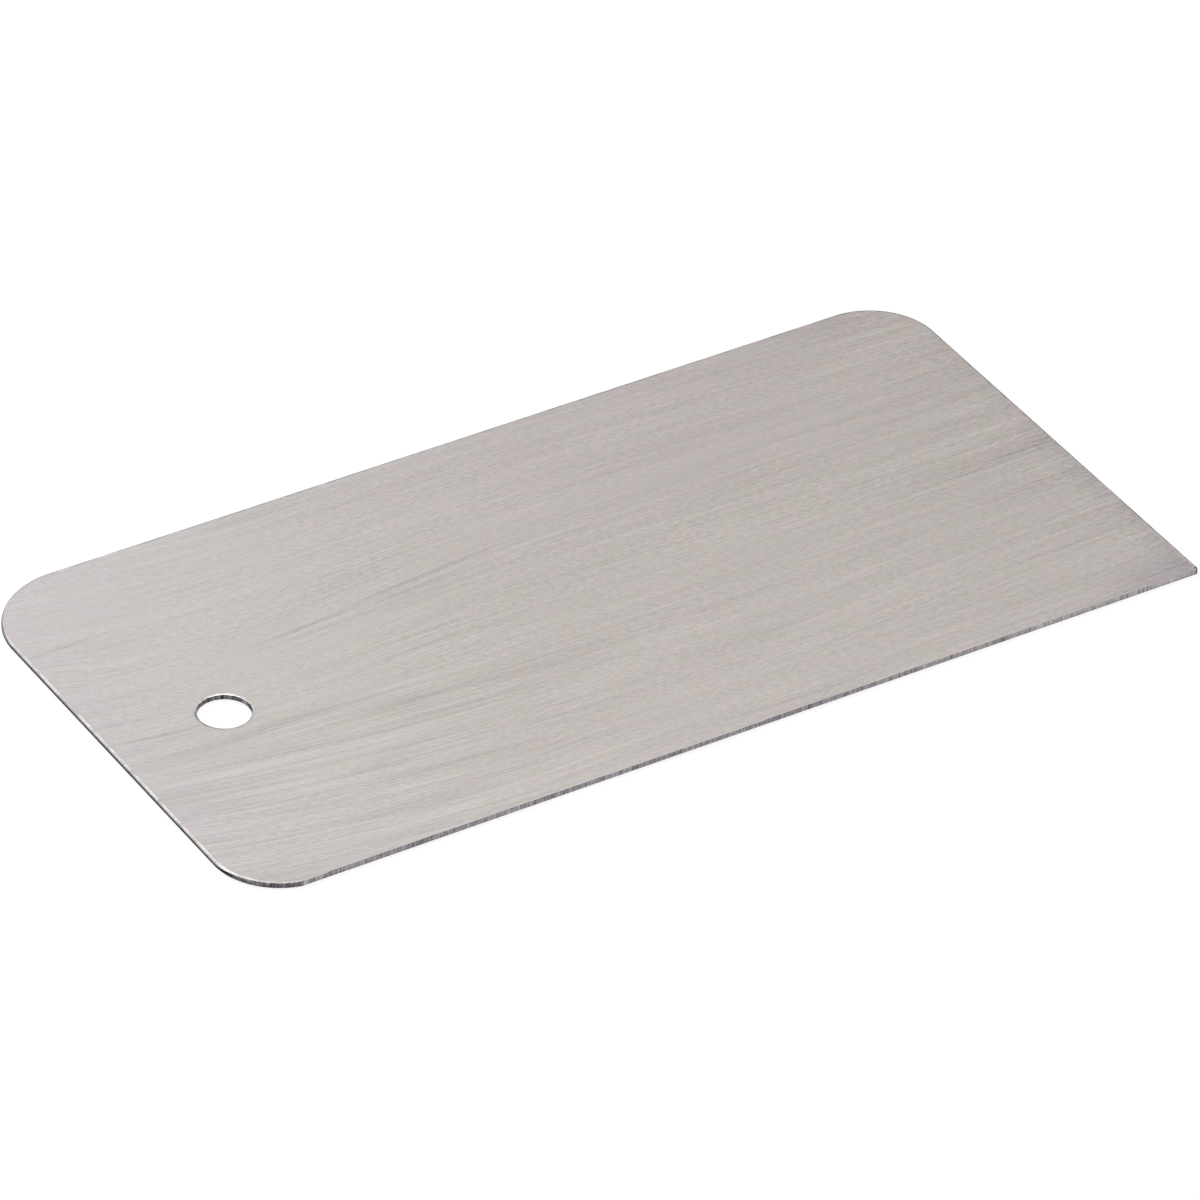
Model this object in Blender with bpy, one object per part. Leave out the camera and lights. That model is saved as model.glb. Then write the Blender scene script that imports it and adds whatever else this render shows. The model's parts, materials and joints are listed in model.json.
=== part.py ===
"""Steel ski scraper: one flat piece of sheet steel, punched out and then ground along its front edge.

Units are metres and +Z is up. The plate lies with its underside on z = 0, its length along X and the middle
of its outline at the origin. The ground scraping edge is the front one, at -Y. The hang hole is near the
left end, at -X. The one square corner is where the ground edge meets the right end.
"""

import math

import bmesh
import bpy

# Sheet, as finished
LENGTH = 0.120
WIDTH = 0.062
THICKNESS = 0.0006

# Corner radii of the punched blank, seen from above
REAR_LEFT_RADIUS = 0.0098
REAR_RIGHT_RADIUS = 0.0080
FRONT_LEFT_RADIUS = 0.0080
SQUARE_CORNER_BREAK = 0.00035

# Edges: how far the punch rolls the upper rim over, and what grinding takes off the front edge
PUNCH_ROLL = 0.00015
EDGE_GRIND = 0.0002

# Hang hole, measured from the left end and from the middle of the width towards the front
HOLE_DIAMETER = 0.0060
HOLE_FROM_END = 0.0140
HOLE_TOWARDS_FRONT = 0.00075

# Straight steps that stand for each round stretch
CORNER_STEPS = 16
BREAK_STEPS = 4
HOLE_STEPS = 48
ROLL_STEPS = 4
SMOOTH_BELOW = math.radians(30)

# Finish of the steel
STEEL_COLOUR = (0.56, 0.545, 0.53, 1.0)
STEEL_ROUGHNESS = 0.36

QUARTER_TURN = math.pi / 2


def clear_scene():
    for old in list(bpy.data.objects):
        bpy.data.objects.remove(old, do_unlink=True)


def arc(centre, radius, start, end, steps):
    """Points along a round stretch with both ends, at angles from +X that grow counter-clockwise."""
    angles = [start + (end - start) * step / steps for step in range(steps + 1)]
    return [(centre[0] + radius * math.cos(angle), centre[1] + radius * math.sin(angle)) for angle in angles]


def rim_profile():
    """The wall from the underside up: pairs of how far it is drawn in, and its height.

    The wall stands square on the underside, and the punch has rolled its upper rim over in a quarter round.
    """
    profile = [(0.0, 0.0)]
    for step in range(ROLL_STEPS + 1):
        angle = QUARTER_TURN * step / ROLL_STEPS
        drawn_in = PUNCH_ROLL * (1 - math.cos(angle))
        height = THICKNESS - PUNCH_ROLL * (1 - math.sin(angle))
        profile.append((drawn_in, height))
    return profile


def plate_outline(drawn_in):
    """The plate's outline where its punched wall is drawn in so far, counter-clockwise from the square corner.

    Grinding cuts the front of the blank away with its rolled rim, so the front edge stays straight up, and the
    front left corner ends at a slight angle where the grinding runs into it.
    """
    right = LENGTH / 2
    rear = WIDTH / 2
    front_drawn_in = max(0.0, drawn_in - EDGE_GRIND)

    broken = SQUARE_CORNER_BREAK
    square_corner = arc(
        centre=(right - broken, broken - rear),
        radius=broken,
        start=-math.asin((broken - front_drawn_in) / broken),
        end=-math.acos((broken - drawn_in) / broken),
        steps=BREAK_STEPS,
    )
    rear_right = arc(
        centre=(right - REAR_RIGHT_RADIUS, rear - REAR_RIGHT_RADIUS),
        radius=REAR_RIGHT_RADIUS - drawn_in,
        start=0.0,
        end=QUARTER_TURN,
        steps=CORNER_STEPS,
    )
    rear_left = arc(
        centre=(REAR_LEFT_RADIUS - right, rear - REAR_LEFT_RADIUS),
        radius=REAR_LEFT_RADIUS - drawn_in,
        start=QUARTER_TURN,
        end=2 * QUARTER_TURN,
        steps=CORNER_STEPS,
    )
    reach_to_ground_edge = (FRONT_LEFT_RADIUS - EDGE_GRIND) / (FRONT_LEFT_RADIUS - drawn_in)
    front_left = arc(
        centre=(FRONT_LEFT_RADIUS - right, FRONT_LEFT_RADIUS - EDGE_GRIND - rear),
        radius=FRONT_LEFT_RADIUS - drawn_in,
        start=2 * QUARTER_TURN,
        end=2 * QUARTER_TURN + math.asin(min(1.0, reach_to_ground_edge)),
        steps=CORNER_STEPS,
    )
    return square_corner + rear_right + rear_left + front_left


def hole_outline(drawn_in):
    """The hang hole's outline, which its rolled rim widens towards the top."""
    centre = (HOLE_FROM_END - LENGTH / 2, -HOLE_TOWARDS_FRONT)
    radius = HOLE_DIAMETER / 2 + drawn_in
    return arc(centre, radius, 0.0, 4 * QUARTER_TURN, HOLE_STEPS)[:-1]


def add_wall(bm, outline):
    """A wall along the outline, ring on ring up the rim profile. Returns its lowest and highest rings."""
    rings = []
    for drawn_in, height in rim_profile():
        rings.append([bm.verts.new((x, y, height)) for x, y in outline(drawn_in)])
    for lower, upper in zip(rings, rings[1:]):
        for index in range(len(lower)):
            bm.faces.new((lower[index - 1], lower[index], upper[index], upper[index - 1]))
    return rings[0], rings[-1]


def add_face(bm, outer_ring, hole_ring):
    """A flat face from the plate's ring to the hole's ring."""
    edges = []
    for ring in (outer_ring, hole_ring):
        edges += [bm.edges.get((ring[index - 1], ring[index])) for index in range(len(ring))]
    bmesh.ops.triangle_fill(bm, use_beauty=True, edges=edges)


def brushed_steel():
    material = bpy.data.materials.new("brushed_steel")
    material.use_nodes = True
    shader = material.node_tree.nodes["Principled BSDF"]
    shader.inputs["Base Color"].default_value = STEEL_COLOUR
    shader.inputs["Metallic"].default_value = 1.0
    shader.inputs["Roughness"].default_value = STEEL_ROUGHNESS
    return material


def make_scraper_plate():
    bm = bmesh.new()
    plate_bottom, plate_top = add_wall(bm, plate_outline)
    hole_bottom, hole_top = add_wall(bm, hole_outline)
    add_face(bm, plate_bottom, hole_bottom)
    add_face(bm, plate_top, hole_top)
    bmesh.ops.recalc_face_normals(bm, faces=bm.faces)

    mesh = bpy.data.meshes.new("scraper_plate")
    bm.to_mesh(mesh)
    bm.free()
    mesh.shade_smooth()
    mesh.set_sharp_from_angle(angle=SMOOTH_BELOW)
    mesh.materials.append(brushed_steel())

    plate = bpy.data.objects.new("scraper_plate", mesh)
    bpy.context.scene.collection.objects.link(plate)
    return plate


clear_scene()
make_scraper_plate()
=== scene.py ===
# %% [markdown]
# # A steel ski scraper
# The object is one flat piece of sheet steel, longer and wider than a bank card and a little thinner. A
# punch has cut it out with rounded corners and a round hang hole, both faces are brushed, and one long
# edge is ground straight so that it scrapes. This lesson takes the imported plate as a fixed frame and
# gives it the edges and the finish of the real one. First come the frame and the sizes that are read from
# it, then the mesh, then three finishes, and the studio last.

# %% The frame
import bisect
import json
import math
import random
from collections import namedtuple

import bmesh
import bpy
from mathutils import Matrix, Vector, noise


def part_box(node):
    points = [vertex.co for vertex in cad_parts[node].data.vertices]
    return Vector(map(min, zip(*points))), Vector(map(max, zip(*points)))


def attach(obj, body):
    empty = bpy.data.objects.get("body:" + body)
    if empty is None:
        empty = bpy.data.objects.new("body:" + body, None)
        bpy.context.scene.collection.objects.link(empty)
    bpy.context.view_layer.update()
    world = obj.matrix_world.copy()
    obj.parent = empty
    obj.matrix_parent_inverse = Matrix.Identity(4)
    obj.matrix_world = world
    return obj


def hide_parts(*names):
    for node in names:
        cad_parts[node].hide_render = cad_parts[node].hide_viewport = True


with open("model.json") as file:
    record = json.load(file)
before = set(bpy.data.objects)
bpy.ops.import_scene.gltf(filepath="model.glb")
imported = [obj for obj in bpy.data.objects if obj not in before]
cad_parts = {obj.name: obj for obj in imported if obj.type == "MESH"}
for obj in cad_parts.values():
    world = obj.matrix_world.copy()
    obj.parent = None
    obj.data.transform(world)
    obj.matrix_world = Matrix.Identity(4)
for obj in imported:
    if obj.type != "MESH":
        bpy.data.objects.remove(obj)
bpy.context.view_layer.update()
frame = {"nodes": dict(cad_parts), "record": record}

MM = 0.001

# %% [markdown]
# ## Sizes from the frame
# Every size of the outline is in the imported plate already, so it is measured there instead of being typed
# again. Where a straight end stops, a round corner starts, which gives the corner's radius. The front
# left corner is different: the grinding has cut into it, so its radius and the depth of the cut follow
# from where its arc meets the left end and the front edge.

# %% Corners and hole
TOUCHING = 0.002 * MM

low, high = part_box("scraper_plate")
underside = [v.co for v in frame["nodes"]["scraper_plate"].data.vertices if v.co.z < low.z + TOUCHING]
left_end = [point.y for point in underside if point.x < low.x + TOUCHING]
right_end = [point.y for point in underside if point.x > high.x - TOUCHING]
front_edge = [point.x for point in underside if point.y < low.y + TOUCHING]

rear_left_radius = high.y - max(left_end)
rear_right_radius = high.y - max(right_end)
square_corner_break = min(right_end) - low.y
cut_along = min(front_edge) - low.x
cut_up = min(left_end) - low.y
front_left_radius = (cut_along**2 + cut_up**2) / (2 * cut_along)
ground_off = front_left_radius - cut_up

hole_low, hole_high = (Vector(corner) for corner in frame["record"]["physics"]["openings"][0]["box_m"])
hole_middle = (hole_low + hole_high).to_2d() / 2
hole_radius = min((point.to_2d() - hole_middle).length for point in underside)

print("corner radii in mm, rear left, rear right, front left:",
      [round(r / MM, 3) for r in (rear_left_radius, rear_right_radius, front_left_radius)])
print(f"ground off the front {ground_off / MM:.3f} mm")
print(f"square corner broken by {square_corner_break / MM:.3f} mm")
print(f"hang hole {2 * hole_radius / MM:.3f} mm at {hole_middle / MM}")

# %% [markdown]
# ## Marks of the grinding wheel
# The front edge is the part that works. A grinding wheel has run across it and left a fine row of shallow
# grooves, and there are a few deeper nicks near the square corner. A bump texture could draw them, but an
# edge is what one sees of a sheet, so here they are cut into the mesh. Each groove is a shallow V at a
# place and depth drawn from a seeded random generator, which gives the same edge on every run.

# %% Grooves along the front edge
GROOVE_STEP = (0.14 * MM, 0.42 * MM)
GROOVE_HALF_WIDTH = (0.04 * MM, 0.065 * MM)
GROOVE_DEPTH = (0.003 * MM, 0.014 * MM)
NICKS_FROM_SQUARE_CORNER = (9.3 * MM, 7.9 * MM, 7.5 * MM, 7.1 * MM, 6.5 * MM, 6.2 * MM)
NICK_HALF_WIDTH = 0.10 * MM
NICK_DEPTH = 0.035 * MM

chance = random.Random(11)
grooves = []
place = low.x + cut_along / 2
while place < high.x - square_corner_break:
    place += chance.uniform(*GROOVE_STEP)
    grooves.append((place, chance.uniform(*GROOVE_HALF_WIDTH), chance.uniform(*GROOVE_DEPTH)))
grooves += [(high.x - distance, NICK_HALF_WIDTH, NICK_DEPTH) for distance in NICKS_FROM_SQUARE_CORNER]
grooves.sort()
groove_places = [groove[0] for groove in grooves]


def groove_depth(x):
    """How deep the grinding marks are at this place along the front edge."""
    near = bisect.bisect(groove_places, x)
    depth = 0.0
    for middle, half_width, deepest in grooves[max(0, near - 2):near + 2]:
        depth = max(depth, deepest * (1 - abs(x - middle) / half_width))
    return depth


print(len(grooves), "grinding marks on the front edge")

# %% [markdown]
# ## The outline as a row of stations
# A wall that runs round the plate is easiest to build from stations: places on the outline, each with the
# way that leads out of the steel. The stations follow the outline that the punch cut. Along the front
# they also say how much steel the wheel took off there. The wheel ran a little deeper towards the square
# corner, so a trace of the punched rim is left along the front on the left, and none on the right.

# %% Stations
STRAIGHT_SPACING = 0.2 * MM
ARC_SPACING = 0.16 * MM
GRINDING_RUNS_DEEPER = 0.10 * MM

Station = namedtuple("Station", "point outward ground")


def shares(length, spacing):
    """Even shares of a length, from 0 up to but not including 1."""
    steps = max(2, round(length / spacing))
    return [step / steps for step in range(steps)]


def straight_run(start, end, outward):
    start, end = Vector(start), Vector(end)
    parts = shares((end - start).length, STRAIGHT_SPACING)
    return [Station(start.lerp(end, part), Vector(outward), 0.0) for part in parts]


def round_corner(centre, radius, first_quarter, spacing=ARC_SPACING, ground=0.0, quarters=1):
    """An arc that starts at so many quarter turns from +X. What was ground off there fades out along it."""
    stations = []
    for part in shares(radius * quarters * math.pi / 2, spacing):
        angle = (first_quarter + part * quarters) * math.pi / 2
        outward = Vector((math.cos(angle), math.sin(angle)))
        stations.append(Station(Vector(centre) + radius * outward, outward, ground * (1 - part)))
    return stations


def ground_off_at(x):
    return ground_off + GRINDING_RUNS_DEEPER * (x - low.x) / (high.x - low.x)


def front_run(start, end):
    """Stations at the edges and the bottom of each grinding mark."""
    places = [start]
    for middle, half_width, _ in grooves:
        places += [middle - half_width, middle, middle + half_width]
    places = sorted(place for place in set(places) if start <= place < end)
    return [Station(Vector((x, low.y)), Vector((0, -1)), ground_off_at(x)) for x in places]


square_x = high.x - square_corner_break
front_left_x = low.x + front_left_radius
plate_stations = (
    round_corner((square_x, low.y + square_corner_break), square_corner_break, -1,
                 spacing=ARC_SPACING / 3, ground=ground_off_at(square_x))
    + straight_run((high.x, low.y + square_corner_break), (high.x, high.y - rear_right_radius), (1, 0))
    + round_corner((high.x - rear_right_radius, high.y - rear_right_radius), rear_right_radius, 0)
    + straight_run((high.x - rear_right_radius, high.y), (low.x + rear_left_radius, high.y), (0, 1))
    + round_corner((low.x + rear_left_radius, high.y - rear_left_radius), rear_left_radius, 1)
    + straight_run((low.x, high.y - rear_left_radius), (low.x, low.y + cut_up), (-1, 0))
    + round_corner((front_left_x, low.y + cut_up), front_left_radius, 2)
    + front_run(front_left_x, square_x)
)
hole_stations = [
    Station(station.point, -station.outward, 0.0)
    for station in round_corner(hole_middle, hole_radius, 0, quarters=4)
]
print(len(plate_stations), "stations round the plate and", len(hole_stations), "round the hole")

# %% [markdown]
# ## What a punch does to a wall
# Sheet steel that was punched has four bands. The rim on the punch's side is rolled over, below it comes
# a smooth burnished band, then the steel has torn and leans in with a rough face, and the bottom edge is
# sharp. How far the roll reaches down and in depends on the gap between punch and die, which is never
# even all the way round. On this plate the left end is rolled the most, the corner next to it is rolled
# wide but shallow, and the rear and the right end are nearly sharp.

# %% Rolled rim
Roll = namedtuple("Roll", "height width")
ROLL_AT_LEFT_END = Roll(0.43 * MM, 0.25 * MM)
ROLL_AT_FRONT = Roll(0.03 * MM, 0.29 * MM)
ROLL_ELSEWHERE = Roll(0.05 * MM, 0.23 * MM)
ROLL_OF_HOLE = Roll(0.12 * MM, 0.33 * MM)
ROLL_WAVERS = 0.14
WAVER_LENGTH = 4.0 * MM
WAVER_FINENESS = 5


def soft_share(value, start, end):
    """0 up to start and 1 from end on, with a soft change between them."""
    share = min(1.0, max(0.0, (value - start) / (end - start)))
    return share * share * (3 - 2 * share)


def rolled_rim(point):
    """How far down and how far in the rim is rolled over at this place on the outline."""
    waver = 1 + ROLL_WAVERS * noise.fractal(point.to_3d() / WAVER_LENGTH, 0.3, 2.0, WAVER_FINENESS)
    if (point - hole_middle).length < 2 * hole_radius:
        return Roll(ROLL_OF_HOLE.height * waver, ROLL_OF_HOLE.width)
    at_left_end = soft_share(point.x, low.x + rear_left_radius, low.x)
    at_front = soft_share(point.y, low.y + front_left_radius, low.y + front_left_radius / 2)
    height, width = Vector(ROLL_ELSEWHERE).lerp(ROLL_AT_LEFT_END, at_left_end).lerp(ROLL_AT_FRONT, at_front)
    return Roll(height * waver, width)


for name, point in (("left end", (low.x, 0.0)), ("rear", (0.0, high.y)), ("front", (0.0, low.y))):
    print(name, "is rolled in mm", [round(size / MM, 3) for size in rolled_rim(Vector(point))])

# %% [markdown]
# The drawing of a wall is then a list of rows from the underside up: a height, how far the wall is drawn
# in from the outline, and how ragged it is there. The torn band takes the lower half of what the roll
# leaves.

# %% Rows of the wall
ROLL_ROWS = 9
TEAR_SHARE = 0.5
TEAR_LEAN = 0.015 * MM
TEAR_RAGGED = 0.014 * MM
TEAR_ROWS = 5

thickness = high.z - low.z
Row = namedtuple("Row", "height drawn_in ragged")


def wall_rows(roll):
    tear_top = TEAR_SHARE * (thickness - roll.height)
    rows = []
    for step in range(TEAR_ROWS):
        part = step / TEAR_ROWS
        rows.append(Row(part * tear_top, (1 - part) * TEAR_LEAN, TEAR_RAGGED))
    rows.append(Row(tear_top, 0.0, TEAR_RAGGED / 4))
    for step in range(ROLL_ROWS + 1):
        turn = step / ROLL_ROWS * math.pi / 2
        height = thickness - roll.height * (1 - math.sin(turn))
        rows.append(Row(height, roll.width * (1 - math.cos(turn)), 0.0))
    return rows


print(len(wall_rows(ROLL_ELSEWHERE)), "rows in a wall")

# %% [markdown]
# ## The plate's mesh
# Each station gets a column of points, drawn in as its rows say, and neighbouring columns are joined into
# a wall. Grinding is then a single rule: no point may lie in front of the ground edge. That cuts the
# rolled rim off along the front and runs into the front left corner at a slight angle, as it does on the
# real plate. The two faces are filled between the plate's ring and the hole's ring. They are left flat
# shaded, because they are flat, and only the walls are shaded smooth.

# %% Walls and faces
TEAR_GRAIN = 0.22 * MM
FACE, RIM, GROUND = 0, 1, 2


def wall_point(station, row):
    height = low.z + row.height
    where = Vector((station.point.x, station.point.y, height)) / TEAR_GRAIN
    drawn_in = max(0.0, row.drawn_in + row.ragged * noise.noise(where) - station.ground)
    x, y = station.point - station.outward * drawn_in
    return x, max(y, low.y + groove_depth(x)), height


def add_wall(bm, stations):
    """Columns of points at the stations, joined by faces. Returns the lowest and the highest ring."""
    columns = []
    for station in stations:
        rows = wall_rows(rolled_rim(station.point))
        columns.append([bm.verts.new(wall_point(station, row)) for row in rows])
    for here, column in enumerate(columns):
        before = columns[here - 1]
        for lower in range(len(column) - 1):
            corners = (before[lower], column[lower], column[lower + 1], before[lower + 1])
            face = bm.faces.new(corners)
            ground = all(corner.co.y < low.y + NICK_DEPTH + TOUCHING for corner in corners)
            face.material_index = GROUND if ground else RIM
            face.smooth = not ground
    return [column[0] for column in columns], [column[-1] for column in columns]


def add_flat_face(bm, plate_ring, hole_ring):
    edges = []
    for ring in (plate_ring, hole_ring):
        edges += [bm.edges.get((ring[here - 1], ring[here])) for here in range(len(ring))]
    filled = bmesh.ops.triangle_fill(bm, use_beauty=True, edges=edges)["geom"]
    for face in filled:
        if isinstance(face, bmesh.types.BMFace):
            face.material_index = FACE
            face.smooth = False


bm = bmesh.new()
plate_bottom, plate_top = add_wall(bm, plate_stations)
hole_bottom, hole_top = add_wall(bm, hole_stations)
add_flat_face(bm, plate_bottom, hole_bottom)
add_flat_face(bm, plate_top, hole_top)
bmesh.ops.recalc_face_normals(bm, faces=bm.faces)

plate_mesh = bpy.data.meshes.new("finished_plate")
bm.to_mesh(plate_mesh)
bm.free()
finished_plate = bpy.data.objects.new("finished_plate", plate_mesh)
bpy.context.scene.collection.objects.link(finished_plate)
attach(finished_plate, "root")
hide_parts("scraper_plate")
print(len(plate_mesh.vertices), "points and", len(plate_mesh.polygons), "faces")

# %% [markdown]
# ## Sums with sockets
# The finishes below are sums of noise patterns. Node by node such sums are long, so a small class wraps a
# socket and lets Python's own signs add the Math nodes. Everything else comes from one method, which
# takes a node's type, its settings and what goes into its sockets.

# %% Wire and Finish
class Wire:
    """The output of a node. A sum with it adds a Math node to the same finish."""

    def __init__(self, finish, socket):
        self.finish = finish
        self.socket = socket

    def maths(self, operation, first, second):
        return self.finish.node("ShaderNodeMath", {"operation": operation}, {
            "Value": first, "Value_001": second})

    def __add__(self, other):
        return self.maths("ADD", self, other)

    def __sub__(self, other):
        return self.maths("SUBTRACT", self, other)

    def __rsub__(self, other):
        return self.maths("SUBTRACT", other, self)

    def __mul__(self, other):
        return self.maths("MULTIPLY", self, other)

    def __truediv__(self, other):
        return self.maths("DIVIDE", self, other)

    __radd__ = __add__
    __rmul__ = __mul__


class Finish:
    """A material, and the one way to add a node to it."""

    def __init__(self, owner):
        self.owner = owner
        owner.use_nodes = True
        self.tree = owner.node_tree
        self.tree.nodes.clear()

    def node(self, kind, settings=None, sockets=None, output=0):
        """Adds a node, sets it up, fills its sockets and gives the wire from one of its outputs."""
        made = self.tree.nodes.new(kind)
        for name, value in (settings or {}).items():
            setattr(made, name, value)
        for name, value in (sockets or {}).items():
            socket = next(s for s in made.inputs if name in (s.identifier, s.name))
            if isinstance(value, Wire):
                self.tree.links.new(value.socket, socket)
            else:
                socket.default_value = value
        outputs = [s for s in made.outputs if output in (s.identifier, s.name)]
        if outputs:
            return Wire(self, outputs[0])
        return Wire(self, made.outputs[0]) if made.outputs else None

    def step(self, value, start, end):
        """0 before start and 1 after end, with a soft change between them."""
        return self.node("ShaderNodeMapRange", {"interpolation_type": "SMOOTHSTEP"},
                         {"Value": value, "From Min": start, "From Max": end})

    def at_least(self, value, least):
        return self.node("ShaderNodeMath", {"operation": "MAXIMUM"}, {"Value": value, "Value_001": least})

    def pattern(self, across, along, detail=2.0, rough=0.5):
        """Soft noise in two directions, about 0.5 on average, with one patch for each whole number."""
        place = self.node("ShaderNodeCombineXYZ", {}, {"X": along, "Y": across})
        return self.node("ShaderNodeTexNoise", {"noise_dimensions": "2D"},
                         {"Vector": place, "Scale": 1.0, "Detail": detail, "Roughness": rough}, output="Fac")

    def wall_pattern(self, place, length, tall, detail=2.0, rough=0.5):
        """Soft noise on an upright wall, whichever way it faces: so long along it and so tall."""
        along, across, up = place
        scaled = self.node("ShaderNodeCombineXYZ", {}, {
            "X": along / length, "Y": across / length, "Z": up / tall})
        return self.node("ShaderNodeTexNoise", {"noise_dimensions": "3D"},
                         {"Vector": scaled, "Scale": 1.0, "Detail": detail, "Roughness": rough}, output="Fac")

    def blend(self, share, first, second):
        return self.node("ShaderNodeMix", {"data_type": "RGBA"},
                         {"Factor_Float": share, "A_Color": first, "B_Color": second}, output="Result_Color")

    def shade(self, colour, level):
        """A colour made lighter or darker by a level about 1."""
        return self.node("ShaderNodeVectorMath", {"operation": "SCALE"}, {"Vector": colour, "Scale": level})

    def tinted(self, colour, tint):
        """A colour multiplied by a tint, part by part."""
        return self.node("ShaderNodeVectorMath", {"operation": "MULTIPLY"}, {
            "Vector": colour, "Vector_001": tint})

    def place_in_mm(self):
        """Where a point lies on the plate: along, across and up, in millimetres."""
        place = self.node("ShaderNodeTexCoord", output="Object")
        place = self.node("ShaderNodeVectorMath", {"operation": "SCALE"}, {"Vector": place, "Scale": 1 / MM})
        parts = self.node("ShaderNodeSeparateXYZ", {}, {"Vector": place}).socket.node.outputs
        return [Wire(self, part) for part in parts]

    def metal(self, colour, roughness, height, depth, grazing=(1.0, 1.0, 1.0, 1.0), bare=1.0):
        """Metal with a fine relief, so deep at a height of 1, and a tint for low angles of view."""
        relief = self.node("ShaderNodeBump", {}, {"Height": height, "Distance": depth})
        shader = self.node("ShaderNodeBsdfPrincipled", {}, {
            "Base Color": colour, "Metallic": bare, "Roughness": roughness, "Specular Tint": grazing,
            "Normal": relief})
        self.node("ShaderNodeOutputMaterial", {}, {"Surface": shader})
        finished_plate.data.materials.append(self.owner)
        print("finish", self.owner.name, "with", len(self.tree.nodes), "nodes")


# %% [markdown]
# ## Brushed faces
# The faces were brushed along their length, so the steel carries countless fine lines, a few tenths of a
# millimetre wide and up to some centimetres long. On the right they are nearly straight. On the left the
# sheet met the brush unevenly: the lines come in at a slant, and right of the hang hole they open like a
# fan. To bend straight noise the same way, it is enough to say how far the brush had moved sideways at
# each place, and to take that off before the noise is looked up. Here and in all the finishes, the two
# numbers of a step are where a change starts and where it is complete, mostly places on the plate in
# millimetres.

# %% Way of the brush
steel = Finish(bpy.data.materials.new("brushed_face"))
along, across, _ = steel.place_in_mm()


def brush_wander(steel, along, across):
    """How far the brush had moved sideways at this place, in mm."""
    straight_from = steel.step(across, 4.0, 20.0) * 16.0 - steel.step(across, -10.0, 2.0) * 32.0 - 12.0
    straight_from = straight_from - steel.step(across, -16.0, -31.0) * 13.0
    left = steel.at_least(straight_from - along, 0.0)
    slant = left * (left * left * 0.000027 + 0.07)
    by_left_end = steel.at_least(-49.0 - along, 0.0)
    slant = slant + by_left_end * by_left_end * 0.007 * steel.step(across, -8.0, 2.0)
    fan = steel.step(across, -3.0, 6.0) * steel.step(across, 16.0, 10.0)
    opened = fan * (steel.step(along - across * 2.0, -58.0, -18.0) - 0.5) * 3.4
    right = steel.node("ShaderNodeMapRange", {}, {"Value": along, "From Min": 12.0, "From Max": 60.0})
    drift = right * (steel.step(across, -8.0, -16.0) * 1.2 - steel.step(across, 8.0, 20.0) * 2.4)
    slow = (steel.pattern(across / 15.0 + 3.1, along / 38.0, detail=1.0) - 0.5) * 1.2
    return slant + opened + drift + slow


brushed = across - brush_wander(steel, along, across)
print("way of the brush:", len(steel.tree.nodes), "nodes")

# %% [markdown]
# The lines themselves are noise that is stretched along the plate, at three widths, with a fine speckle
# and some long thin scratches over them. Their sizes are in millimetres. Noise is weakest along the lines
# of its own grid, which would show as faint stripes across the plate, so each row of noise is set off a
# little from the row beside it. A number that is added to a place only picks another part of the noise,
# so that no two patterns are alike.

# %% Lines of the brush
Lines = namedtuple("Lines", "width length")
FINE = Lines(0.18, 15.0)
MIDDLE = Lines(0.55, 30.0)
BROAD = Lines(2.3, 40.0)
SPECKLE = Lines(0.21, 0.85)
SCRATCHES = Lines(0.22, 24.0)


def brush_lines(steel, along, across):
    """Fine, middle and broad lines and the speckle, each about 0 on average."""
    fine = steel.pattern(across / FINE.width, along / FINE.length + across * 0.9) - 0.5
    middle = steel.pattern(across / MIDDLE.width + 40.0, along / MIDDLE.length + across * 0.3) - 0.5
    broad = steel.pattern(across / BROAD.width + 70.0, along / BROAD.length) - 0.5
    speckle = steel.pattern(across / SPECKLE.width + 130.0, along / SPECKLE.length + across * 2.4,
                            detail=3.0, rough=0.75) - 0.5
    return fine, middle, broad, speckle


def hairlines(steel, along, across):
    """Long thin scratches, in loose bundles."""
    thin = steel.pattern(across / SCRATCHES.width + 90.0, along / SCRATCHES.length, detail=1.0)
    thin = steel.step(thin, 0.60, 0.72)
    bundle = steel.pattern(across / 4.0 + 20.0, along / 30.0, detail=0.0)
    return thin * steel.step(bundle, 0.45, 0.65)


fine, middle, broad, speckle = brush_lines(steel, along, brushed)
scratches = hairlines(steel, along, brushed)
print("with the lines of the brush:", len(steel.tree.nodes), "nodes")

# %% [markdown]
# Some streaks are plain to see, where the brush dragged: a dark bundle above the middle of the left half,
# others below the hang hole, and short ones at the right end. Each runs from one place to another, in
# millimetres, with a half width and a darkness, which is below zero for a light streak. A short scratch
# right of the hole and a bright speck near the right end are made the same way. A Mapping node lays a
# round gradient over each, a little longer and twice as wide, so that it fades out at its sides and ends.
# Wide ones serve as soft patches: the face is darker along the right end and the rear right edge, and
# darker still and a trace violet by the square corner. The worn patches, round the hang hole and at the
# front in the middle, and the greener ones only mark a place here, and the cells below use them.

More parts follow.
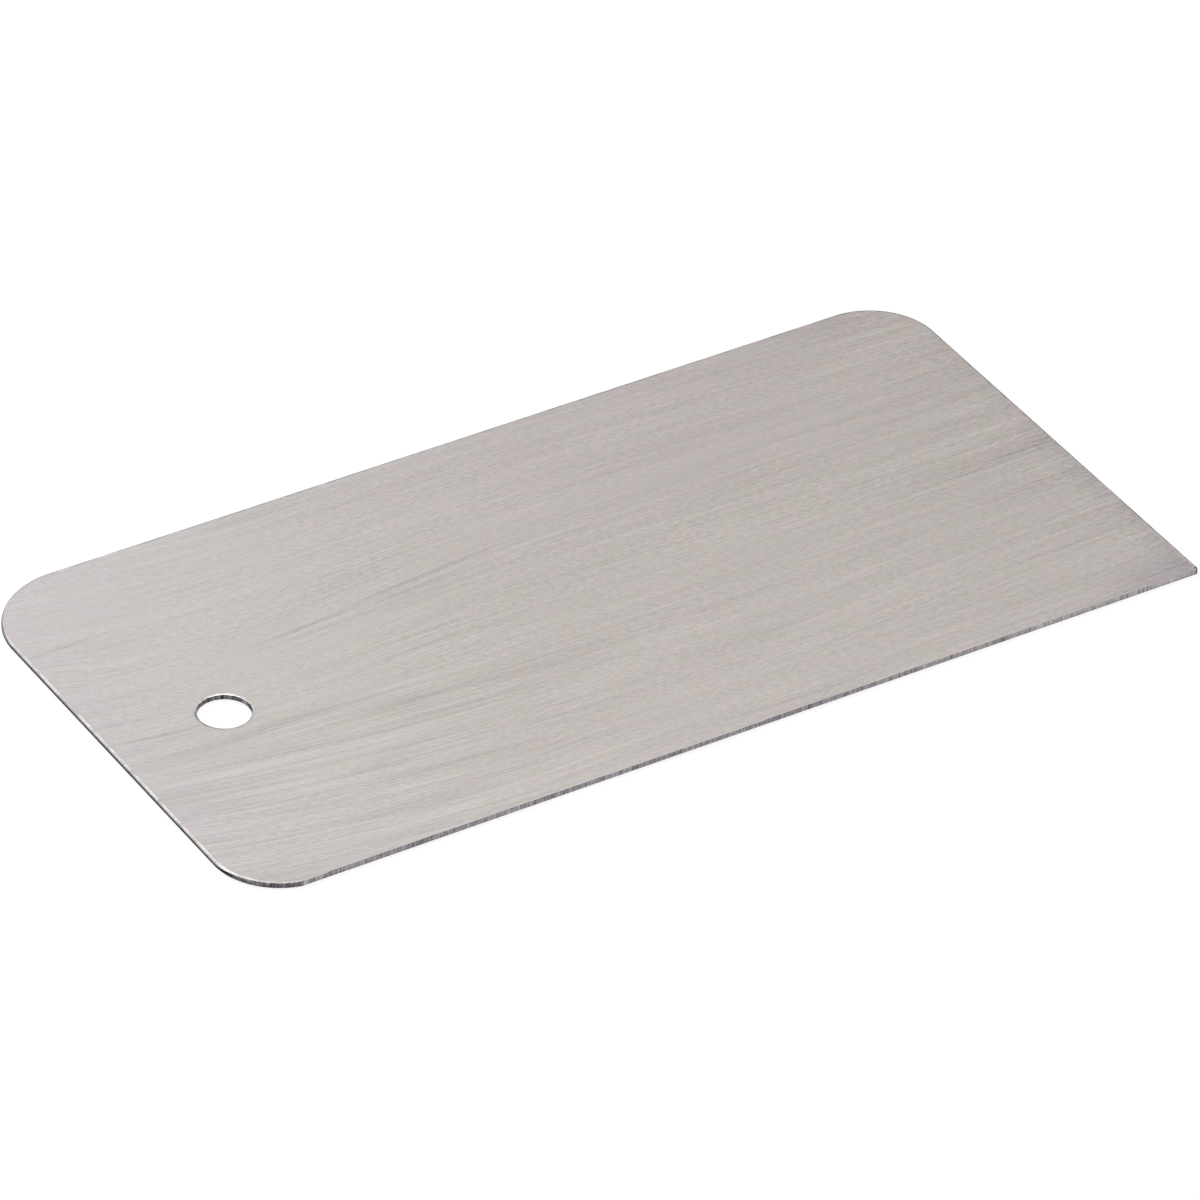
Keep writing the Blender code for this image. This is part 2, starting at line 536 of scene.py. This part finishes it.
# %% Streaks
DARK_BUNDLE = (
    ((-40.0, 7.8), (-22.0, 8.9), 0.26, 0.11),
    ((-27.0, 9.5), (-4.0, 11.2), 0.26, 0.06),
    ((-40.0, 6.9), (-20.0, 7.5), 0.26, 0.08),
    ((-39.0, 7.5), (-20.0, 8.5), 0.22, -0.05),
    ((-25.0, 8.1), (-7.0, 9.4), 0.25, 0.09),
    ((-24.0, 9.9), (-2.0, 11.2), 0.45, 0.04),
    ((-26.0, 7.2), (-10.0, 7.2), 0.90, 0.05),
    ((-28.0, 9.0), (-8.0, 9.6), 0.90, 0.055),
)
LEFT_STREAKS = (
    ((-60.0, -7.2), (-42.0, -11.2), 0.26, 0.07),
    ((-50.0, -9.7), (-30.0, -12.7), 0.23, 0.09),
    ((-60.0, -8.9), (-36.0, -12.6), 0.28, -0.05),
    ((-54.0, -9.4), (-34.0, -11.4), 0.70, 0.04),
    ((-50.0, -16.1), (-30.0, -18.5), 0.28, 0.08),
    ((-38.0, -17.4), (-14.0, -20.2), 0.32, 0.10),
    ((-41.0, -16.4), (-30.0, -17.6), 0.65, 0.08),
    ((-57.0, -15.2), (-36.0, -18.3), 0.28, -0.05),
    ((-40.0, -18.2), (-16.0, -20.7), 0.28, -0.05),
    ((-36.0, -20.0), (-20.0, -22.0), 0.40, 0.05),
    ((-34.0, -21.5), (-21.0, -23.1), 0.30, -0.04),
    ((-58.0, -17.7), (-44.0, -19.9), 0.40, 0.05),
    ((-58.0, -19.5), (-43.0, -22.0), 0.36, 0.06),
    ((-57.0, -18.5), (-42.0, -20.9), 0.25, -0.04),
    ((-63.0, 0.5), (-47.0, -2.6), 0.25, 0.08),
    ((-49.0, -5.4), (-34.0, -5.8), 0.30, 0.05),
    ((-61.0, 18.0), (-49.0, 18.2), 0.26, 0.10),
    ((-57.0, 16.6), (-45.0, 14.6), 0.35, 0.05),
    ((-61.0, 15.8), (-51.0, 11.2), 0.36, 0.05),
    ((-57.0, 12.1), (-43.0, 11.0), 0.30, 0.04),
    ((-36.0, 29.6), (-18.0, 29.4), 0.45, 0.08),
    ((-35.5, 1.7), (-33.6, 2.9), 0.10, 0.13),
)
RIGHT_STREAKS = (
    ((38.0, -20.0), (60.0, -20.2), 0.24, 0.09),
    ((43.0, -9.0), (58.0, -9.2), 0.40, 0.07),
    ((44.0, -2.9), (64.0, -2.5), 0.45, 0.06),
    ((51.0, -2.2), (60.0, -2.1), 0.16, 0.13),
    ((48.0, 22.4), (62.0, 22.2), 0.25, 0.08),
    ((48.0, 9.7), (48.4, 9.7), 0.13, -0.28),
    ((4.0, 17.2), (24.0, 17.0), 0.30, 0.05),
    ((20.0, 29.4), (38.0, 29.2), 0.40, 0.06),
    ((32.0, 12.8), (54.0, 12.6), 0.30, 0.06),
    ((38.0, 23.6), (52.0, 23.4), 0.35, 0.06),
    ((44.0, 18.9), (60.0, 18.3), 0.35, 0.06),
    ((48.0, 16.2), (60.0, 15.8), 0.30, 0.06),
    ((38.0, 6.2), (60.0, 5.9), 0.35, 0.06),
)
SOFT_PATCHES = (
    ((-64.0, -2.0), (-32.0, -7.6), 2.60, 0.04),
    ((-34.0, -9.6), (-23.0, -10.2), 1.80, 0.05),
    ((-30.0, -9.6), (6.0, -9.7), 1.40, 0.03),
    ((40.0, -1.4), (68.0, -2.2), 1.60, 0.03),
    ((26.0, 16.9), (68.0, 16.0), 1.20, 0.03),
    ((-36.0, 12.4), (12.0, 13.0), 3.20, 0.03),
    ((-32.0, -14.0), (-8.0, -14.6), 1.80, 0.04),
    ((-48.0, -13.2), (-28.0, -14.6), 1.30, -0.03),
    ((44.0, 12.2), (68.0, 11.4), 2.40, 0.035),
    ((60.0, -52.0), (60.0, 30.0), 2.00, 0.12),
    ((42.0, 31.0), (62.0, 31.0), 2.20, 0.12),
    ((26.0, -1.6), (50.0, -2.2), 2.60, 0.06),
    ((-14.0, 26.5), (14.0, 26.3), 2.20, 0.035),
    ((48.0, 13.0), (62.0, 12.6), 1.60, 0.03),
    ((-40.0, -8.5), (14.0, -8.5), 3.20, 0.045),
    ((-30.0, -19.2), (18.0, -19.2), 1.60, 0.035),
    ((-26.0, 5.5), (22.0, 3.0), 3.20, 0.04),
    ((-66.0, -3.5), (-36.0, -6.0), 1.80, 0.035),
    ((28.0, -3.0), (70.0, -3.0), 1.80, 0.03),
    ((26.0, -16.5), (58.0, -16.5), 2.50, -0.025),
    ((26.0, -27.5), (52.0, -27.5), 1.50, -0.025),
)
DRAGGED_STREAKS = DARK_BUNDLE + LEFT_STREAKS + RIGHT_STREAKS + SOFT_PATCHES
SQUARE_CORNER_PATCH = ((47.0, -31.0), (73.0, -31.0), 3.50)
WORN_PATCHES = (((-54.0, 4.0), (-30.0, 4.0), 5.00), ((-16.0, -21.0), (16.0, -21.0), 5.00))
GREENER_PATCHES = (((-58.0, 5.0), (4.0, 5.0), 15.50, 0.80), ((-10.0, 1.0), (66.0, 1.0), 5.00, 0.50))
REACH_ALONG = 0.6
REACH_ACROSS = 2.0


def streak(steel, place, start, end, half_width, darkness):
    """The darkness on the middle of a streak, fading to 0 at its sides and ends."""
    middle = (Vector(start) + Vector(end)) / 2
    way = Vector(end) - Vector(start)
    laid_over = steel.node("ShaderNodeMapping", {"vector_type": "TEXTURE"}, {
        "Vector": place, "Location": middle.to_3d(), "Rotation": (0.0, 0.0, math.atan2(way.y, way.x)),
        "Scale": (REACH_ALONG * way.length, REACH_ACROSS * half_width, 1.0)})
    inside = steel.node("ShaderNodeTexGradient", {"gradient_type": "SPHERICAL"}, {
        "Vector": laid_over}, output="Fac")
    return steel.step(inside, 0.0, 0.9) * darkness


on_face = steel.node("ShaderNodeCombineXYZ", {}, {"X": along, "Y": across})
dragged = sum((streak(steel, on_face, *line) for line in DRAGGED_STREAKS), 0.0)
by_square_corner = streak(steel, on_face, *SQUARE_CORNER_PATCH, 1.0)
worn = sum((streak(steel, on_face, *patch, 1.0) for patch in WORN_PATCHES), 0.0)
print("with", len(DRAGGED_STREAKS), "streaks and soft patches:", len(steel.tree.nodes), "nodes")

# %% [markdown]
# The lines and the marks are then added up. The contrast is low: a line is only a few per cent lighter or
# darker than its neighbour. It is stronger at the right end, where the brush pressed harder and left
# short dark strokes, and weaker at the rear on the left. At the front on the left the lines are plainest
# and the speckle is fainter. In the worn patches the fine lines give way to speckle.

# %% Lines and marks
FINE_CONTRAST = 0.28
SPECKLE_CONTRAST = 0.59
MIDDLE_CONTRAST = 0.10
BROAD_CONTRAST = 0.05
SCRATCH_DARKNESS = 0.07
STROKE_DARKNESS = 0.14
STROKES = Lines(0.30, 3.2)


def pressure(steel, along, across):
    """How hard the brush pressed, about 1 on average."""
    patches = steel.pattern(across / 9.0 + 50.0, along / 22.0, detail=1.0)
    rear_left = steel.step(along, -15.0, -32.0) * steel.step(across, 0.0, 10.0)
    return 0.7 + patches * 0.6 + steel.step(along, 44.0, 58.0) * 0.3 - rear_left * 0.2


def uneven(steel, along, across):
    """1 at the front on the left, where the sheet met the brush least evenly, and 0 on the right."""
    return steel.step(along, -5.0, -30.0) * steel.step(across, 6.0, -8.0)


def dashes(steel, along, across):
    """Short dark strokes, a few millimetres long, at the right end."""
    strokes = steel.pattern(across / STROKES.width + 170.0, along / STROKES.length + across * 1.3)
    return steel.step(strokes, 0.56, 0.72) * steel.step(along, 40.0, 60.0)


rifts = uneven(steel, along, across)
lines = fine * (FINE_CONTRAST - worn * 0.19 + rifts * 0.12)
lines = lines + speckle * (SPECKLE_CONTRAST + worn * 0.10 - rifts * 0.12)
lines = lines * pressure(steel, along, brushed)
lines = lines + middle * (MIDDLE_CONTRAST + rifts * 0.10 - worn * 0.05)
lines = lines + broad * (BROAD_CONTRAST + rifts * 0.09)
marks = scratches * SCRATCH_DARKNESS + dashes(steel, along, brushed) * STROKE_DARKNESS
marks = marks + dragged * (1.0 - fine * 2.0)
print("with the lines and marks added up:", len(steel.tree.nodes), "nodes")

# %% [markdown]
# Colour, roughness and relief of the brushed face come from the same lines, so that a dark line is also a
# groove. Two slight mottlings, one between a warmer and a cooler grey and one between a yellower and a
# bluer tint, keep the steel from looking like paint. The front is a trace cooler than the rear, the
# middle of the plate is a trace greener, and the left end and the front edge are a trace more lilac.

# %% Brushed face
WARM_STEEL = (0.4000, 0.3580, 0.3395, 1.0)
COOL_STEEL = (0.3840, 0.3620, 0.3395, 1.0)
YELLOWER = (1.0, 1.0, 0.978, 1.0)
BLUER = (1.0, 1.0, 1.024, 1.0)
LILAC = (0.998, 0.9795, 1.000, 1.0)
GREENER = (0.998, 1.006, 0.992, 1.0)
VIOLET = (0.845, 0.830, 0.900, 1.0)
GREENER_ELSEWHERE = 0.48
MOTTLE = Lines(2.4, 4.0)
BRUSHED_RELIEF = 0.004 * MM


def mottling(another_part):
    """Soft patches of some millimetres, from -0.5 to 0.5."""
    patches = steel.pattern(brushed / MOTTLE.width + another_part, along / MOTTLE.length, detail=3.0)
    return steel.step(patches, 0.34, 0.66) - 0.5


cool = 0.5 + mottling(11.0) * (0.5 + steel.step(along, -35.0, -5.0) * 0.5) - across * 0.009
blue = 0.5 + mottling(31.0) * (0.7 + steel.step(across, 6.0, -14.0) * 0.3)
greener = sum((streak(steel, on_face, *patch) for patch in GREENER_PATCHES), GREENER_ELSEWHERE)
greener = greener - steel.step(along, -52.0, -59.0) * GREENER_ELSEWHERE
greener = greener - steel.step(across, -18.0, -30.0) * 0.15
tint = steel.blend(by_square_corner, steel.blend(blue, YELLOWER, BLUER), VIOLET)
tint = steel.tinted(tint, steel.blend(greener, LILAC, GREENER))
tone = steel.tinted(steel.blend(cool, WARM_STEEL, COOL_STEEL), tint)
colour = steel.shade(tone, 1.0 + lines - marks)
roughness = 0.36 + middle * 0.10 + broad * 0.08 + marks * 0.5
steel.metal(colour, roughness, fine + middle * 0.7 - marks * 2.0, BRUSHED_RELIEF)

# %% [markdown]
# ## Punched rim
# The wall that the punch left goes from bright to dark downwards. Its rolled rim is polished by the tool
# and takes the face's colour, which is also a painted highlight where it faces up, the burnished band is
# dark with upright drag lines, and the torn band below is dull and a little lighter. Much of its light and
# shade is painted, and no two stretches of it are alike. So this finish first works out where a point
# lies: in the hang hole, at the left end, on the front left corner, where that corner bends, or at the very
# tip of the square corner.

# %% Places on the rim
left, right, front = low.x / MM, high.x / MM, low.y / MM
hole_x, hole_y = hole_middle / MM
hole_edge, corner_edge = hole_radius / MM, front_left_radius / MM

rim = Finish(bpy.data.materials.new("punched_rim"))
place = rim.place_in_mm()
along, across, up = place
on_plate = rim.node("ShaderNodeCombineXYZ", {}, {"X": along, "Y": across})


def distance_from(middle):
    """How far a point lies from an upright axis, in mm."""
    return rim.node("ShaderNodeVectorMath", {"operation": "DISTANCE"}, {
        "Vector": on_plate, "Vector_001": Vector(middle).to_3d() / MM}, output="Value")


from_hole = distance_from(hole_middle)
from_corner = distance_from((front_left_x, low.y + cut_up))
in_hole = rim.step(from_hole, hole_edge + 2.0, hole_edge + 1.0)
on_left_half = rim.step(along, 0.0, -20.0)
at_left_end = rim.step(along, left + 0.7, left + 0.25)
at_corner = rim.step(across, front + 9.0, front + 3.0) * (1.0 - at_left_end)
at_bend = rim.step(across, front + 7.0, front + 5.0) * rim.step(across, front + 2.6, front + 4.0)
at_bend = at_bend * on_left_half
at_tip = rim.step(along, right - 0.42, right - 0.34) * rim.step(across, front + 0.7, front + 0.5)
print("places on the rim:", len(rim.tree.nodes), "nodes")

# %% [markdown]
# The roll gets a painted highlight by its own lie: the more the surface faces up, the lighter its colour.
# On the rear and the right, where there is hardly a roll, painted shade leaves a thin dark line instead,
# and the roll is dull, without the painted highlight, along the lip of the hole and of the corner too. The
# height above the underside tells the two lower bands apart, and some noise frays the line between them.

# %% Bands of the wall
lie = rim.node("ShaderNodeNewGeometry", output="Normal")
facing = rim.node("ShaderNodeSeparateXYZ", {}, {"Vector": lie}).socket.node.outputs
facing_right, facing_rear, facing_up = (Wire(rim, part) for part in facing)
drag = rim.wall_pattern(place, 0.25, 2.0) - 0.5
tear = rim.wall_pattern(place, 0.14, 0.10, detail=3.0) - 0.5
blotches = rim.wall_pattern(place, 3.0, 1.5, detail=5.0, rough=0.9) - 0.5
smears = rim.wall_pattern(place, 0.7, 2.0, detail=3.0, rough=0.8) - 0.5

torn = rim.step(up + tear * 0.14, 0.28, 0.18)
lip_of_hole = in_hole * rim.step(from_hole + smears * 0.25, hole_edge + 0.09, hole_edge + 0.02)
lip_of_corner = at_corner * on_left_half * rim.step(from_corner, corner_edge - 0.18, corner_edge - 0.05)
lip_of_corner = lip_of_corner * (1.0 - at_bend * 0.4)
# Painted shade: a thin dark line where the rim faces the rear and the right.
shade_on_rear_and_right = rim.step(facing_right + facing_rear, 0.02, 0.25) * (1.0 - in_hole)
dull_and_shaded = rim.at_least(lip_of_hole + lip_of_corner + at_tip, shade_on_rear_and_right * 0.85)
# Painted highlight: the roll's colour is lighter the more it faces up.
rolled = rim.step(facing_up + drag * 0.15, 0.02, 0.42) * (1.0 - dull_and_shaded)
print("with the bands of the wall:", len(rim.tree.nodes), "nodes")

# %% [markdown]
# What is left is how light each band is, and part of it is painted light and shade. The foot of the wall
# is painted darkest, as shade, since it sees only the floor. The front left corner is lighter than the left
# end, most of all where it bends, and the hole's wall has painted light on its left and right. The very
# tip of the square corner is not bare metal and is painted nearly black, a painted shadow.

# %% Punched rim
TORN_STEEL = (0.125, 0.112, 0.124, 1.0)
BURNISHED_STEEL = (0.100, 0.089, 0.099, 1.0)
ROLLED_STEEL = (0.420, 0.395, 0.380)
DULL_AT_GRAZING = (0.42, 0.40, 0.42, 1.0)
PUNCHED_RELIEF = 0.008 * MM

level = 1.0 + tear * torn + drag * 2.4 + smears * (1.0 + in_hole * 5.0) + blotches * 6.0
# Painted light on the left and right of the hole's wall, painted shadow at the tip of the square corner, and
# painted shade at the foot of the front walls.
lit = in_hole * (rim.step(facing_right, -0.90, -1.0) + rim.step(facing_right, 0.25, 0.8) * 1.2 + 0.05)
lighter = 1.0 + at_corner * 0.42 - at_left_end * 0.68 + lit - at_tip * 0.8
foot = rim.step(up, 0.20, 0.02) * rim.step(across, 8.0, -4.0) * (1.0 - in_hole)
level = rim.at_least(level, 0.25) * lighter * (1.0 - foot * 0.55)
wall = rim.shade(rim.blend(torn, BURNISHED_STEEL, TORN_STEEL), level)

# The roll's painted shine: lighter on its steep part at the left end, at the corner and most where it bends,
# darker at the front and rear left of the hole.
steep = rim.step(facing_up, 0.95, 0.60)
painted_shine = 1.0 + blotches * 2.5 + at_left_end * steep * 0.3 + at_corner * 0.22 + at_bend * 0.40
front_of_hole = rim.step(across, hole_y + 0.75, hole_y - 0.85)
rear_left_of_hole = rim.step(along, hole_x + 1.0, hole_x - 1.5)
rear_left_of_hole = rear_left_of_hole * rim.step(across, hole_y - 0.75, hole_y + 1.25)
painted_shine = painted_shine + in_hole * (0.08 - front_of_hole * 0.20 - rear_left_of_hole * 0.24)
polished_with_painted_shine = rim.shade(ROLLED_STEEL, painted_shine)

colour = rim.blend(rolled, wall, polished_with_painted_shine)
roughness = 0.28 + torn * 0.25 + at_tip * 0.3
rim.metal(colour, roughness, tear * torn + drag * 0.3, PUNCHED_RELIEF, DULL_AT_GRAZING, bare=1.0 - at_tip)

# %% [markdown]
# ## Ground edge
# Grinding leaves a dull grey face with light and dark lines across it, a tenth of a millimetre or two
# apart. A fine burr hangs on along both of its edges. The one above is dark up to the square corner. Along
# the one below the colour also carries painted shade: dark towards the ends and a little lighter in the
# middle. The face gets lighter towards the square corner, where the wheel ran deeper and cleaner, darker
# again towards the tip, and the very tip is painted nearly black and not bare, a painted shadow. A few
# lines stand out, some of them at the deeper nicks, and where the edge runs into the round corner a
# bright line is painted on, a painted highlight.

# %% Ground edge
GROUND_STEEL = (0.285, 0.258, 0.280, 1.0)
GROUND_STEEL_WARM = (0.290, 0.262, 0.268, 1.0)
GROUND_RELIEF = 0.006 * MM
WHEEL_MARKS_AND_HIGHLIGHT = (
    # The first line, at -53.3 where the edge meets the round corner, is a painted highlight.
    (-53.3, 0.14, 0.60), (-46.3, 0.10, 0.45), (-27.2, 0.10, 0.45), (24.0, 0.10, 0.40), (42.1, 0.10, 0.45),
    (51.4, 0.10, 0.40), (5.4, 0.10, -0.55), (9.3, 0.10, -0.50), (6.2, 0.09, -0.40),
    (-23.7, 0.09, -0.40), (20.8, 0.08, -0.40), (34.3, 0.08, -0.40), (41.8, 0.08, -0.40), (50.6, 0.10, -0.40),
    (52.1, 0.12, -0.50), (52.6, 0.08, -0.40), (53.2, 0.10, -0.50), (53.7, 0.08, -0.45),
)


def wheel_mark(ground, along, middle, half_width, lightness):
    """The lightness inside one line across the edge, below zero for a dark one, and 0 beside it."""
    return lightness * ground.node("ShaderNodeMath", {"operation": "COMPARE"}, {
        "Value": along, "Value_001": middle, "Value_002": half_width})


ground = Finish(bpy.data.materials.new("ground_edge"))
place = ground.place_in_mm()
along, _, up = place
stripes = ground.wall_pattern(place, 0.13, 1.4) - 0.5
coarse = ground.wall_pattern(place, 2.0, 4.0, detail=4.0, rough=1.0) - 0.5
grit = ground.wall_pattern(place, 0.10, 0.10, detail=1.0) - 0.5
cleaner = ground.step(along, 10.0, 62.0)
by_square_corner = ground.step(along, 52.0, 56.0)
by_tip = ground.step(along, right - 2.0, right - 0.6)
at_tip = ground.step(along, right - 0.42, right - 0.36)
burr_above = ground.step(up, 0.52, 0.60) * (1.0 - by_square_corner)
towards_ends = ground.step(along, -20.0, -46.0) + ground.step(along, 5.0, 35.0)
# Painted shade along the foot, besides the burr: dark towards the ends, lighter in the middle.
burr_and_shade_below = ground.step(up, 0.16, 0.02) * (towards_ends - 0.35)
burr_and_shade_below = burr_and_shade_below + ground.step(up, 0.26, 0.10) * by_square_corner * 0.35
marks = sum((wheel_mark(ground, along, *mark) for mark in WHEEL_MARKS_AND_HIGHLIGHT), 0.0)
noisy = (stripes * 2.4 + coarse * 2.2 + grit * 0.6) * (1.0 - by_square_corner * 0.45)
level = 1.0 + noisy + marks - burr_above * 0.22 - burr_and_shade_below * 0.60 + cleaner * 0.38
# Darker towards the tip, and the very tip painted nearly black: a painted shadow.
level = ground.at_least(level + by_square_corner * 0.16 - by_tip * 0.30, 0.3) * (1.0 - at_tip * 0.9)
tone = ground.blend(cleaner, GROUND_STEEL, GROUND_STEEL_WARM)
colour = ground.shade(tone, level)
ground.metal(colour, 0.42 + stripes * 0.2, stripes + grit * 0.5, GROUND_RELIEF, bare=1.0 - at_tip)

# %% [markdown]
# ## Studio
# The plate lies on a white sweep in even light. To keep the picture white without flooding the steel with
# light, the floor glows a little for rays from the camera and for reflections, and the world does the
# same. The floor still takes the plate's soft shadow.

# %% Floor and world
FLOOR_SIZE = 6.0
FLOOR_GAP = 0.02 * MM
FLOOR_GLOW_SHARE = 0.75
WHITE = (1.0, 1.0, 1.0, 1.0)
MATT_WHITE = (0.95, 0.95, 0.95, 1.0)
WORLD_FILL = 0.72


def rays_that_look(finish):
    """1 for rays that show the background: from the camera, in reflections and through glass."""
    looking = 0.0
    for kind in ("Is Camera Ray", "Is Glossy Ray", "Is Transmission Ray"):
        looking = finish.node("ShaderNodeLightPath", output=kind) + looking
    return finish.node("ShaderNodeClamp", {}, {"Value": looking})


floor_mesh = bpy.data.meshes.new("floor")
half = FLOOR_SIZE / 2
floor_level = low.z - FLOOR_GAP
corners = [(x * half, y * half, floor_level) for x, y in ((-1, -1), (1, -1), (1, 1), (-1, 1))]
floor_mesh.from_pydata(corners, [], [(0, 1, 2, 3)])
floor = bpy.data.objects.new("floor", floor_mesh)
bpy.context.scene.collection.objects.link(floor)

sweep = Finish(bpy.data.materials.new("white_sweep"))
matt = sweep.node("ShaderNodeBsdfDiffuse", {}, {"Color": MATT_WHITE})
glow = sweep.node("ShaderNodeEmission", {}, {"Color": WHITE, "Strength": 1.0})
share = rays_that_look(sweep) * FLOOR_GLOW_SHARE
surface = sweep.node("ShaderNodeMixShader", {}, {"Fac": share, "Shader": matt, "Shader_001": glow})
sweep.node("ShaderNodeOutputMaterial", {}, {"Surface": surface})
floor_mesh.materials.append(sweep.owner)

room = Finish(bpy.data.worlds.new("white_room"))
fill = room.node("ShaderNodeBackground", {}, {"Color": WHITE, "Strength": WORLD_FILL})
seen = room.node("ShaderNodeBackground", {}, {"Color": WHITE, "Strength": 1.0})
surface = room.node("ShaderNodeMixShader", {}, {
    "Fac": rays_that_look(room), "Shader": fill, "Shader_001": seen})
room.node("ShaderNodeOutputWorld", {}, {"Surface": surface})
bpy.context.scene.world = room.owner
print("white floor and world, fill", WORLD_FILL)

# %% [markdown]
# Two softboxes shape the steel. A large one hangs overhead, lights the floor and makes the rolled rims
# shine. The other stands behind the plate on the left, close enough that the left end of the plate
# mirrors it and the right end does not, so the steel goes from light to dark along its length.

# %% Softboxes
Softbox = namedtuple("Softbox", "name place size brightness colour")
SOFTBOXES = (
    Softbox("overhead_softbox", (-0.01, 0.12, 0.45), (0.59, 0.35), 1.69, (1.0, 1.0, 1.0)),
    Softbox("back_strip", (-0.16, 0.25, 0.20), (0.85, 0.25), 0.96, (0.72, 0.86, 1.0)),
)


def add_softbox(box):
    """An area lamp that faces the plate. Its power follows from how bright it looks, where 1 is white."""
    lamp = bpy.data.lights.new(box.name, "AREA")
    lamp.shape = "RECTANGLE"
    lamp.size, lamp.size_y = box.size
    lamp.energy = box.brightness * math.pi * box.size[0] * box.size[1]
    lamp.color = box.colour
    softbox = bpy.data.objects.new(box.name, lamp)
    facing = (-Vector(box.place)).to_track_quat("-Z", "Y")
    softbox.matrix_world = Matrix.Translation(box.place) @ facing.to_matrix().to_4x4()
    softbox.visible_camera = False
    bpy.context.scene.collection.objects.link(softbox)
    print(box.name, f"{lamp.energy:.2f} W")


for box in SOFTBOXES:
    add_softbox(box)

# %% [markdown]
# ## Camera
# The photograph was taken from the front left with a long lens, about a metre away, and tilted a little.
# These numbers come from solving the camera on the plate's own outline.

# %% Camera
VIEW_AZIMUTH = math.radians(32.107)
VIEW_ELEVATION = math.radians(35.673)
VIEW_ROLL = math.radians(1.359)
VIEW_DISTANCE = 1041.39 * MM
VIEW_TARGET = Vector((0.157 * MM, -2.568 * MM, 0.0))
LENS_LENGTH = 285.46
FILM_WIDTH = 36.0

forward = Vector((math.sin(VIEW_AZIMUTH) * math.cos(VIEW_ELEVATION),
                  math.cos(VIEW_AZIMUTH) * math.cos(VIEW_ELEVATION),
                  -math.sin(VIEW_ELEVATION)))
lens = bpy.data.cameras.new("camera")
lens.lens = LENS_LENGTH
lens.sensor_width = FILM_WIDTH
camera = bpy.data.objects.new("camera", lens)
turned = forward.to_track_quat("-Z", "Y").to_matrix().to_4x4() @ Matrix.Rotation(VIEW_ROLL, 4, "Z")
camera.matrix_world = Matrix.Translation(VIEW_TARGET - VIEW_DISTANCE * forward) @ turned
bpy.context.scene.collection.objects.link(camera)
bpy.context.scene.camera = camera
bpy.context.scene.view_settings.view_transform = "Standard"
print("camera at", [round(value, 4) for value in camera.location])
